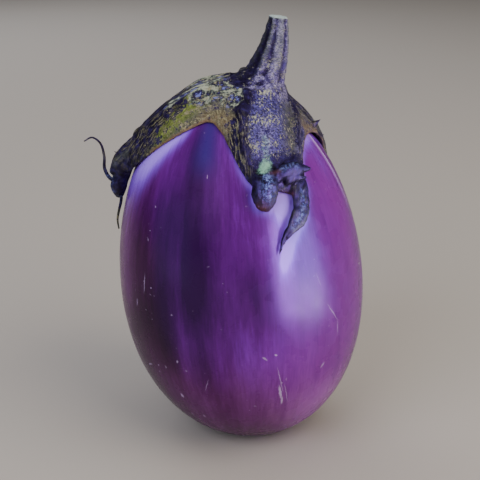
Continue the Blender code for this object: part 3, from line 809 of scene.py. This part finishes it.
# Where each tint lies on the cap: strokes of chart points, with a width in mm and a strength.
TINTS = {
    "violet": [
        ([(-0.5, -8.0), (1.0, -25.5), (2.5, -40.0)], 8.0, 1.0),
        ([(17.0, -14.0), (17.8, -30.0)], 1.8, 0.7),
        ([(20.0, -44.0), (22.5, -55.0), (17.0, -69.0)], 4.0, 0.4),
        ([(3.0, -46.0), (3.0, -58.0)], 5.5, 0.4), ([(-6.0, 3.0), (8.0, 3.0)], 8.0, 0.8),
        ([(16.0, 2.0), (24.0, 0.0)], 3.0, 0.6), ([(-14.0, 2.0), (-26.0, 3.0)], 4.0, 0.5),
    ],
    "lilac": [
        ([(10.0, -2.0), (15.0, -17.0), (15.6, -34.0)], 1.5, 0.45),
        ([(-2.0, -6.0), (3.0, -7.0), (7.0, -5.0)], 3.5, 0.7), ([(1.0, -24.0), (2.5, -38.0)], 3.5, 0.35),
    ],
    "deep": [
        ([(-6.3, -12.0), (-8.1, -23.0), (-8.4, -31.5), (-6.2, -41.2), (-3.0, -46.5)], 2.4, 0.42),
        ([(8.5, -0.7), (12.8, -8.2), (14.5, -17.4), (15.6, -27.9), (15.1, -36.4)], 2.2, 0.17),
        ([(-10.9, 0.0), (-27.0, -2.3)], 1.7, 0.35),
        ([(-48.0, 2.5), (-56.5, -2.0), (-69.0, -2.0)], 8.5, 0.85),
        ([(-32.0, -7.0), (-42.0, -9.0), (-52.0, -9.0)], 7.0, 0.34),
        ([(-24.0, 3.0), (-48.0, 2.0)], 8.0, 0.26),
        ([(-9.5, -29.0), (-11.5, -36.0), (-8.0, -44.0)], 3.0, 0.30),
        ([(0.5, -47.0), (-1.5, -55.0)], 5.5, 0.62),
        ([(6.0, -43.5), (12.6, -39.4), (23.0, -34.0)], 4.2, 0.75),
        ([(19.0, -44.0), (21.5, -52.0), (21.0, -59.0), (16.5, -68.0), (14.6, -76.0)], 5.5, 0.62),
        ([(8.0, 3.0), (20.0, 2.0), (27.0, -1.0)], 2.4, 0.35),
        ([(-14.0, 7.0), (-30.0, 8.0), (-46.0, 6.0)], 3.5, 0.25),
    ],
    "mottle": [
        ([(-8.0, -5.0), (-11.5, -15.5)], 4.5, 1.0), ([(-14.5, -2.0), (-20.0, -10.5)], 6.5, 1.1),
        ([(-20.0, -4.0), (-33.0, -7.0)], 4.0, 1.0), ([(-10.0, 3.0), (-24.0, 3.0)], 4.0, 0.9),
    ],
    "olive": [
        ([(-23.6, -12.6), (-30.0, -14.5), (-38.0, -16.5)], 5.0, 1.0),
        ([(-30.0, -18.0), (-42.0, -19.0)], 3.0, 0.6),
    ],
    "fibre": [
        ([(18.0, 8.0), (34.0, 24.0), (40.0, 34.0)], 7.0, 0.8), ([(4.0, 20.0), (3.0, 44.0)], 7.0, 0.8),
        ([(-16.0, 18.0), (-40.0, 40.0)], 8.0, 0.8),
        ([(-12.0, 4.0), (-28.0, 5.5), (-46.0, 4.0)], 5.0, 1.0),
        ([(-50.0, -4.0), (-60.0, -2.0)], 5.0, 0.5),
        ([(-36.0, -14.0), (-46.0, -12.0), (-53.0, -7.0)], 5.0, 0.9),
        ([(-10.0, -27.0), (-11.5, -36.0), (-8.0, -44.0)], 3.5, 1.0),
        ([(-17.4, -20.4), (-21.0, -20.9)], 4.0, 1.0),
        ([(17.5, -45.0), (24.0, -50.0), (19.0, -62.0)], 4.0, 0.3),
    ],
    "tan": [
        ([(-12.5, -26.0), (-16.0, -22.5), (-21.0, -21.5)], 3.2, 0.8),
        ([(16.8, -12.0), (18.2, -30.0)], 1.6, 0.8),
        ([(19.0, -12.0), (23.5, -6.0), (27.0, 0.0)], 4.2, 0.9),
    ],
    # Painted highlight: a pale green gleam on the bulge at the lower end of the front pad.
    "green_highlight": [
        ([(2.3, -40.6), (1.0, -43.6)], 3.3, 0.72), ([(2.2, -38.0), (1.0, -31.0)], 3.0, 0.45),
    ],
    # Painted highlights: blue gleams on the raised nub, strip, fold and left nub.
    "blue_highlight": [
        ([(3.2, -47.5), (4.0, -54.0)], 2.4, 1.0),
        ([(20.6, -45.5), (23.0, -51.0), (22.8, -57.0), (19.4, -62.5)], 1.2, 0.8),
        ([(-70.0, -2.5), (-74.5, -3.2)], 2.0, 0.6), ([(9.0, -42.5), (15.0, -39.0)], 1.2, 0.5),
    ],
    "wine": [
        ([(-1.0, -59.4), (6.5, -59.4)], 2.4, 0.9), ([(4.0, -44.8), (8.0, -43.2)], 0.8, 0.4),
        ([(10.5, -49.3), (13.0, -48.6), (15.6, -48.6)], 1.2, 0.9),
    ],
    "ashen": [
        ([(26.6, -43.0), (28.4, -51.0), (25.2, -58.5), (20.8, -64.5)], 1.1, 0.9),
        ([(-57.0, -5.5), (-64.0, -4.5)], 1.2, 0.3),
    ],
}


def paint_growth(piece):
    """Tint fields of the cap and stalk, from each point's place on the chart; painted highlights and the
    stalk's painted light and shade among them.
    """
    points = points_of(piece)
    x, y = to_chart(points)
    reach = np.hypot(x, y)
    fields = {name: np.zeros(len(x)) for name in TINTS}

    def at_least(name, values):
        fields[name] = np.maximum(fields[name], values)

    for name, strokes in TINTS.items():
        for line, width, strength in strokes:
            at_least(name, strength * np.exp(-(distance_to(line, x, y) / width) ** 2))
    high = smooth_step((points[:, 2] - 151.5) / 5.0) * smooth_step((15.0 - reach) / 4.0)
    behind = smooth_step((y - 2.0) / 8.0) * smooth_step((x + 60.0) / 20.0) * (1.0 - high)
    at_least("deep", 0.35 * rib_nearness(x, y, 2.4) * behind)
    at_least("mottle", 0.75 * behind * swell(reach, 20.0, 9.0))
    at_least("olive", 0.6 * behind * smooth_step((reach - 24.0) / 10.0))

    # The dry rim fades where the margin is dark or curled up.
    inset = distance_to(closed_margin, x, y)
    front = smooth_step((-y - 40.0) / 4.0) * smooth_step((x + 6.0) / 3.0)
    flank = smooth_step((-y - 24.0) / 6.0) * smooth_step((-x + 2.0) / 4.0)
    flank *= smooth_step((x + 16.0) / 5.0)
    dark_end = smooth_step((-x - 44.0) / 8.0)
    proud = np.linalg.norm(points - CORE, axis=1) - skin_distance(outward(x, y))
    front = np.maximum(front, smooth_step((proud - 2.2) / 1.0))
    fields["rim"] = np.exp(-(inset / 0.9) ** 2) * (1.0 - front) * (1.0 - 0.75 * flank) * (1.0 - dark_end)

    # The stalk: painted light and shade, its crests lighter, its valleys darker and its side towards the
    # right-hand daylight paler; and its cut face.
    part = (points[:, 2] - STEM_ROOT_HEIGHT) / (STEM_TOP - STEM_ROOT_HEIGHT)
    turn = np.arctan2(points[:, 1], points[:, 0] - stem_centre(points[:, 2]))
    crest = stem_ridges(turn, part) * high
    sunny = 0.5 + 0.5 * np.cos(turn + 0.5)
    for name in ("deep", "mottle"):
        fields[name] *= 1.0 - high
    # Painted shade on the side away from the light and in the valleys; painted light on the lit side and
    # the crests.
    at_least("deep", high * (0.32 - 0.34 * sunny - 0.12 * crest))
    at_least("lilac", high * (0.20 + 0.8 * sunny) * smooth_step(0.85 + 0.6 * crest))
    at_least("violet", high)
    at_least("ashen", high * sunny * smooth_step(0.5 + crest) * smooth_step((part - 0.2) / 0.5))
    level = points[:, 2] - CUT_SLOPE * (points[:, 0] - STEM_TIP_X) - STEM_TOP
    fields["cut"] = smooth_step((level + 0.45) / 0.3)
    fields["weave"] = weave_of(points)
    for name, values in fields.items():
        paint(piece, name, values)


calyx = half_of(whole, "calyx_cap", False)
stalk = half_of(whole, "cut_stalk", True)
bpy.data.meshes.remove(whole)
for piece, node, slot in ((calyx, "calyx", "calyx_leather"), (stalk, "stem", "stem_bark")):
    paint_growth(piece)
    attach(piece, "root")
    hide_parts(node)

# Skin that the growing cap sheltered from the light stays pale beside it.
# Each row is an azimuth in degrees, how pale the skin is there and how wide the pale band is.
SHELTER = [
    (-180, 0.45, 9.0), (-165, 0.70, 19.0), (-150, 1.00, 15.0), (-138, 0.95, 8.0), (-127, 0.62, 5.0),
    (-119, 0.12, 3.0), (-104, 0.06, 3.0), (-96, 0.22, 3.0), (-88, 0.45, 3.5), (-80, 0.70, 4.5),
    (-72, 0.80, 4.0), (-62, 0.80, 4.0), (-52, 0.90, 3.0), (-42, 0.80, 2.6), (-30, 0.45, 3.0),
    (-15, 0.40, 3.0), (0, 0.50, 4.0), (30, 0.60, 5.0), (60, 0.90, 6.0), (90, 0.60, 5.0),
    (120, 0.90, 6.0), (150, 0.60, 5.0), (180, 0.45, 7.0),
]
points = points_of(fruit)
chart_x, chart_y = to_chart(points)
inset = distance_to(closed_margin, chart_x, chart_y)
strip_line = [(19.8, -43.0), (22.2, -50.0), (22.6, -54.5), (20.8, -59.5), (18.2, -64.5), (15.0, -76.8)]
strip_side = np.maximum(distance_to(strip_line, chart_x, chart_y) - 3.5, 0.0)
nub_side = np.maximum(np.hypot(chart_x - 2.8, chart_y + 52.0) - 6.0, 0.0)
beside = np.minimum(inset, nub_side + 1.0)
turn = np.degrees(np.arctan2(points[:, 1], points[:, 0] - LEAN * points[:, 2]))
turns, strengths, widths = zip(*SHELTER)
pale = np.interp(turn, turns, strengths)
reach_out = np.interp(turn, turns, widths)
# A pale streak down the front right: partly the skin's own pale colour, partly a painted reflection.
streak = swell(turn, -66.0 - 0.14 * (110.0 - points[:, 2]), 6.5)
streak = streak * smooth_step((points[:, 2] - 70.0) / 30.0) * smooth_step((124.0 - points[:, 2]) / 10.0)
right_blush = swell(turn, -22.0, 11.0) * smooth_step((points[:, 2] - 106.0) / 20.0)
arch = swell(chart_x, 12.0, 5.5) * swell(chart_y, -52.0, 8.0)
beyond = smooth_step((chart_x - 15.0) / 6.0)
by_strip = (0.12 + 0.95 * beyond) * np.exp(-(strip_side / (3.4 + 2.2 * beyond)) ** 1.3)
pale_skin_and_reflection = np.maximum(pale * np.exp(-(beside / reach_out) ** 1.5), by_strip)
pale_skin_and_reflection = np.maximum(pale_skin_and_reflection, 1.05 * arch) + 0.42 * streak + 0.36 * right_blush
indigo = swell(turn, -107.0, 8.0) * smooth_step((points[:, 2] - 122.0) / 12.0)
paint(fruit, "pale_skin_and_reflection", pale_skin_and_reflection)
paint(fruit, "indigo", indigo)


def plant_hide(name):
    """Calyx hide: dark violet cells over green tissue, with pale corky fibres and a fine
    mottling. Semi-matt, so edges and ribs catch only a soft sheen. Its blue and pale green
    highlights, and the stalk's light and shade, are painted into the colour."""
    material, tree, shader = new_material(name)
    place = millimetres(tree)
    weave = add(tree, "Attribute", {}, "Vector", attribute_name="weave")
    hair = add(tree, "VectorMath", {0: weave, 1: (0.45, 1.0, 1.0)}, operation="MULTIPLY")
    short = add(tree, "VectorMath", {0: weave, 1: (1.7, 1.0, 1.0)}, operation="MULTIPLY")
    deep = add(tree, "Attribute", {}, "Fac", attribute_name="deep")
    fine = add(tree, "TexNoise", {"Vector": short, "Scale": 1 / 0.75, "Detail": 6.0, "Roughness": 0.72},
               "Fac")
    grit = add(tree, "TexNoise", {"Vector": place, "Scale": 1 / 0.9, "Detail": 5.0, "Roughness": 0.70},
               "Fac")
    broad = add(tree, "TexNoise", {"Vector": place, "Scale": 1 / 2.6, "Detail": 4.0, "Roughness": 0.60},
                "Fac")
    ground = add(tree, "ValToRGB", {"Fac": broad},
                 stops=[(0.34, "#30322c"), (0.50, "#4b4c3f"), (0.66, "#6e6d5f")])
    tan = add(tree, "ValToRGB", {"Fac": fine},
              stops=[(0.40, "#54462f"), (0.52, "#7c6b4a"), (0.62, "#a99c78")])
    ground = add(tree, "Mix",
                 {0: add(tree, "Attribute", {}, "Fac", attribute_name="tan"), 6: ground, 7: tan}, 2,
                 data_type="RGBA")
    green = add(tree, "ValToRGB", {"Fac": broad},
                stops=[(0.34, "#485020"), (0.50, "#74803a"), (0.66, "#99a156")])
    ground = add(tree, "Mix",
                 {0: add(tree, "MapRange",
                         {"Value": add(tree, "Attribute", {}, "Fac", attribute_name="olive"),
                          "From Min": 0.1, "From Max": 0.8}, interpolation_type="SMOOTHSTEP"), 6: ground,
                  7: green}, 2, data_type="RGBA")
    veined = add(tree, "Math",
                 {0: grit, 1: 0.7, 2: add(tree, "Math", {0: broad, 1: 0.3}, operation="MULTIPLY")},
                 operation="MULTIPLY_ADD")
    bluish = add(tree, "ValToRGB", {"Fac": veined},
                 stops=[(0.40, "#120c26"), (0.47, "#332a58"), (0.54, "#5f589a"), (0.62, "#938fcc")])
    ground = add(tree, "Mix",
                 {0: add(tree, "MapRange",
                         {"Value": add(tree, "Attribute", {}, "Fac", attribute_name="violet"),
                          "From Min": 0.1, "From Max": 0.8}, interpolation_type="SMOOTHSTEP"), 6: ground,
                  7: bluish}, 2, data_type="RGBA")
    dark = add(tree, "ValToRGB", {"Fac": broad},
               stops=[(0.34, "#0b0811"), (0.52, "#19102b"), (0.70, "#2b2150")])
    blot = add(tree, "Math",
               {0: grit, 1: 0.5, 2: add(tree, "Math", {0: broad, 1: 0.5}, operation="MULTIPLY")},
               operation="MULTIPLY_ADD")
    blot = add(tree, "MapRange",
               {"Value": add(tree, "Math", {0: deep, 1: 0.60, 2: blot}, operation="MULTIPLY_ADD"),
                "From Min": 0.515, "From Max": 0.575}, interpolation_type="SMOOTHSTEP")
    lilac = add(tree, "ValToRGB", {"Fac": grit},
                stops=[(0.38, "#2c2446"), (0.46, "#625a80"), (0.53, "#978eac"), (0.62, "#c8c0d4")])
    ground = add(tree, "Mix",
                 {0: add(tree, "Attribute", {}, "Fac", attribute_name="lilac"), 6: ground, 7: lilac}, 2,
                 data_type="RGBA")
    hide = add(tree, "Mix", {0: blot, 6: ground, 7: dark}, 2, data_type="RGBA")
    # Painted highlight: blue gleams on the raised ends of the cap.
    lit = add(tree, "Math",
              {0: add(tree, "Attribute", {}, "Fac", attribute_name="blue_highlight"),
               1: add(tree, "MapRange", {"Value": veined, "From Min": 0.44, "From Max": 0.56},
                      interpolation_type="SMOOTHSTEP")}, operation="MULTIPLY")
    hide = add(tree, "Mix",
               {0: lit, 6: hide,
                7: add(tree, "ValToRGB", {"Fac": veined}, stops=[(0.44, "#2c3374"), (0.62, "#7d90c8")])},
               2, data_type="RGBA")
    frayed = add(tree, "TexNoise", {"Vector": place, "Scale": 0.7, "Detail": 3.0}, "Color")
    frayed = add(tree, "Mix", {0: 1.0, 6: short, 7: frayed}, 2, data_type="RGBA", blend_type="ADD")
    cells = add(tree, "TexVoronoi", {"Vector": frayed, "Scale": 0.36, "Randomness": 1.0}, "Distance",
                feature="F1")
    cells = add(tree, "Math",
                {0: add(tree, "Math", {0: grit, 1: 1.1, 2: cells}, operation="MULTIPLY_ADD"), 1: 0.7},
                operation="MULTIPLY")
    islands = add(tree, "ValToRGB", {"Fac": cells},
                  stops=[(0.54, "#6a70a8"), (0.62, "#2a2048"), (0.74, "#140e1e"), (0.79, "#5a6458"),
                         (0.90, "#989c84")])
    mottled = add(tree, "Math",
                  {0: grit, 1: 0.8, 2: add(tree, "Attribute", {}, "Fac", attribute_name="mottle")},
                  operation="MULTIPLY_ADD")
    hide = add(tree, "Mix",
               {0: add(tree, "MapRange", {"Value": mottled, "From Min": 0.80, "From Max": 0.95},
                       interpolation_type="SMOOTHSTEP"), 6: hide, 7: islands}, 2, data_type="RGBA")
    flecks = add(tree, "Math",
                 {0: add(tree, "TexNoise", {"Vector": place, "Scale": 1 / 4.0, "Detail": 2.0}, "Fac"),
                  1: 0.40, 2: fine}, operation="MULTIPLY_ADD")
    flecks = add(tree, "Math", {0: deep, 1: -0.32, 2: flecks}, operation="MULTIPLY_ADD")
    flecks = add(tree, "MapRange", {"Value": flecks, "From Min": 0.752, "From Max": 0.776},
                 interpolation_type="SMOOTHSTEP")
    threads = add(tree, "MapRange",
                  {"Value": add(tree, "TexNoise",
                                {"Vector": hair, "Scale": 1 / 0.7, "Detail": 5.0, "Roughness": 0.65},
                                "Fac"), "From Min": 0.52, "From Max": 0.56},
                  interpolation_type="SMOOTHSTEP")
    threads = add(tree, "Math",
                  {0: threads, 1: add(tree, "Attribute", {}, "Fac", attribute_name="fibre")},
                  operation="MULTIPLY")
    flecks = add(tree, "Math", {0: flecks, 1: 0.9}, operation="MULTIPLY")
    corky = add(tree, "Math",
                {0: flecks, 1: add(tree, "Math", {0: threads, 1: 0.7}, operation="MULTIPLY")},
                operation="MAXIMUM")
    cork = add(tree, "Mix",
               {0: add(tree, "Attribute", {}, "Fac", attribute_name="violet"),
                6: add(tree, "ValToRGB", {"Fac": grit}, stops=[(0.42, "#5c5940"), (0.58, "#9a946c")]),
                7: add(tree, "ValToRGB", {"Fac": grit}, stops=[(0.42, "#84866c"), (0.58, "#c2c29c")])}, 2,
               data_type="RGBA")
    hide = add(tree, "Mix", {0: corky, 6: hide, 7: cork}, 2, data_type="RGBA")
    hide = add(tree, "Mix",
               {0: add(tree, "Math",
                       {0: add(tree, "Attribute", {}, "Fac", attribute_name="ashen"), 1: 0.7},
                       operation="MULTIPLY"), 6: hide,
                7: add(tree, "ValToRGB", {"Fac": fine}, stops=[(0.40, "#3c4239"), (0.60, "#8f988a")])}, 2,
               data_type="RGBA")
    wine = add(tree, "ValToRGB", {"Fac": fine}, stops=[(0.35, "#341522"), (0.65, "#744644")])
    hide = add(tree, "Mix",
               {0: add(tree, "Attribute", {}, "Fac", attribute_name="wine"), 6: hide, 7: wine}, 2,
               data_type="RGBA")
    # Painted highlight: the pale green gleam on the front pad.
    green_highlight_mix = add(tree, "Math",
               {0: grit, 1: 1.0, 2: add(tree, "Attribute", {}, "Fac", attribute_name="green_highlight")},
               operation="MULTIPLY_ADD")
    hide = add(tree, "Mix",
               {0: add(tree, "MapRange",
                       {"Value": green_highlight_mix, "From Min": 0.80, "From Max": 1.25, "To Min": 0.0, "To Max": 0.9},
                       interpolation_type="SMOOTHSTEP"), 6: hide, 7: colour("#84b496")}, 2,
               data_type="RGBA")
    dry = add(tree, "Math", {0: fine, 1: 0.9, 2: add(tree, "Attribute", {}, "Fac", attribute_name="rim")},
              operation="MULTIPLY_ADD")
    hide = add(tree, "Mix",
               {0: add(tree, "MapRange",
                       {"Value": dry, "From Min": 0.85, "From Max": 1.35, "To Min": 0.0, "To Max": 0.65},
                       interpolation_type="SMOOTHSTEP"), 6: hide, 7: colour("#806545")}, 2,
               data_type="RGBA")
    pith = add(tree, "ValToRGB",
               {"Fac": add(tree, "TexNoise", {"Vector": place, "Scale": 1 / 0.6, "Detail": 2.0}, "Fac")},
               stops=[(0.3, "#8ea193"), (0.7, "#c3ceca")])
    hide = add(tree, "Mix",
               {0: add(tree, "Attribute", {}, "Fac", attribute_name="cut"), 6: hide, 7: pith}, 2,
               data_type="RGBA")
    rough = add(tree, "Math", {0: blot, 1: -0.16, 2: 0.58}, operation="MULTIPLY_ADD")
    relief = add(tree, "Math",
                 {0: blot, 1: -0.5,
                  2: add(tree, "Math", {0: corky, 1: 0.8, 2: fine}, operation="MULTIPLY_ADD")},
                 operation="MULTIPLY_ADD")
    bump = add(tree, "Bump", {"Strength": 0.7, "Distance": 0.0004, "Height": relief})
    feed(tree, shader, {"Base Color": hide, "Roughness": rough, "Normal": bump,
                        "IOR": 1.45, "Specular IOR Level": 0.28})
    return material


calyx.data.materials.append(plant_hide("mottled_calyx_hide"))
stalk.data.materials.append(plant_hide("ridged_stalk_hide"))


# The studio: a plain pale floor under soft daylight from the right, the left, above and
# behind. Three window panes and a patch of sky on the left only mirror in the waxy skin.
FLOOR_SIZE = 3.0            # metres from the middle to each side
DAYLIGHT_AIM = (0.0, 0.0, 0.08)

floor_mesh = bpy.data.meshes.new("floor")
floor_corners = [(x * FLOOR_SIZE, y * FLOOR_SIZE, 0.0) for x, y in ((-1, -1), (1, -1), (1, 1), (-1, 1))]
floor_mesh.from_pydata(floor_corners, [], [(0, 1, 2, 3)])
floor = in_scene("floor", floor_mesh)

# Matt painted board: it gives the eye no gloss, so the floor stays plain.
matt_board, tree, shader = new_material("matt_board")
feed(tree, shader, {"Base Color": colour("#a59e92"), "Roughness": 1.0, "Specular IOR Level": 0.0})
floor.data.materials.append(matt_board)


def soft_light(name, place, aim, width, height, watts, tint, mirrored_only=False):
    """A rectangular soft light at a place, turned to face its aim."""
    lamp = bpy.data.lights.new(name, "AREA")
    lamp.shape = "RECTANGLE"
    lamp.size = width
    lamp.size_y = height
    lamp.energy = watts
    lamp.color = colour(tint)[:3]
    light = in_scene(name, lamp)
    light.location = place
    light.rotation_euler = (Vector(aim) - Vector(place)).to_track_quat("-Z", "Y").to_euler()
    light.visible_camera = False
    light.visible_glossy = mirrored_only
    if mirrored_only:
        light.visible_diffuse = False
        light.visible_shadow = False


soft_light("daylight_right", (0.75, -0.55, 0.85), DAYLIGHT_AIM, 1.0, 1.0, 14.0, "#fff6ee")
soft_light("daylight_above", (0.0, 0.10, 1.60), DAYLIGHT_AIM, 1.6, 1.6, 13.0, "#f4f4ff")
soft_light("daylight_left", (-0.65, -0.90, 0.80), DAYLIGHT_AIM, 0.9, 0.9, 15.0, "#e4e8ff")
soft_light("sky_behind", (-0.5, 1.1, 0.8), DAYLIGHT_AIM, 0.9, 0.9, 8.0, "#e6ecff")
soft_light("near_pane", (0.160, -0.194, 0.093), (-0.010, -0.089, 0.090),
           0.07, 0.185, 2.3, "#b87cff", True)
soft_light("far_pane", (0.210, -0.113, 0.121), (0.040, -0.008, 0.118),
           0.12, 0.13, 1.35, "#9793ff", True)
soft_light("low_pane", (0.210, -0.113, 0.028), (0.040, -0.008, 0.025),
           0.12, 0.055, 0.75, "#c5a8ff", True)
soft_light("sky_mirrored", (-0.36, -0.20, 0.125), (-0.02, -0.04, 0.10),
           0.26, 0.24, 0.20, "#9fb0ff", True)

# Dim surroundings, so that the skin's reflections stay dark between the panes.
world = bpy.data.worlds.new("dim_surroundings")
bpy.context.scene.world = world
world.use_nodes = True
feed(world.node_tree, world.node_tree.nodes["Background"], {"Color": colour("#e9e6e2"), "Strength": 0.10})
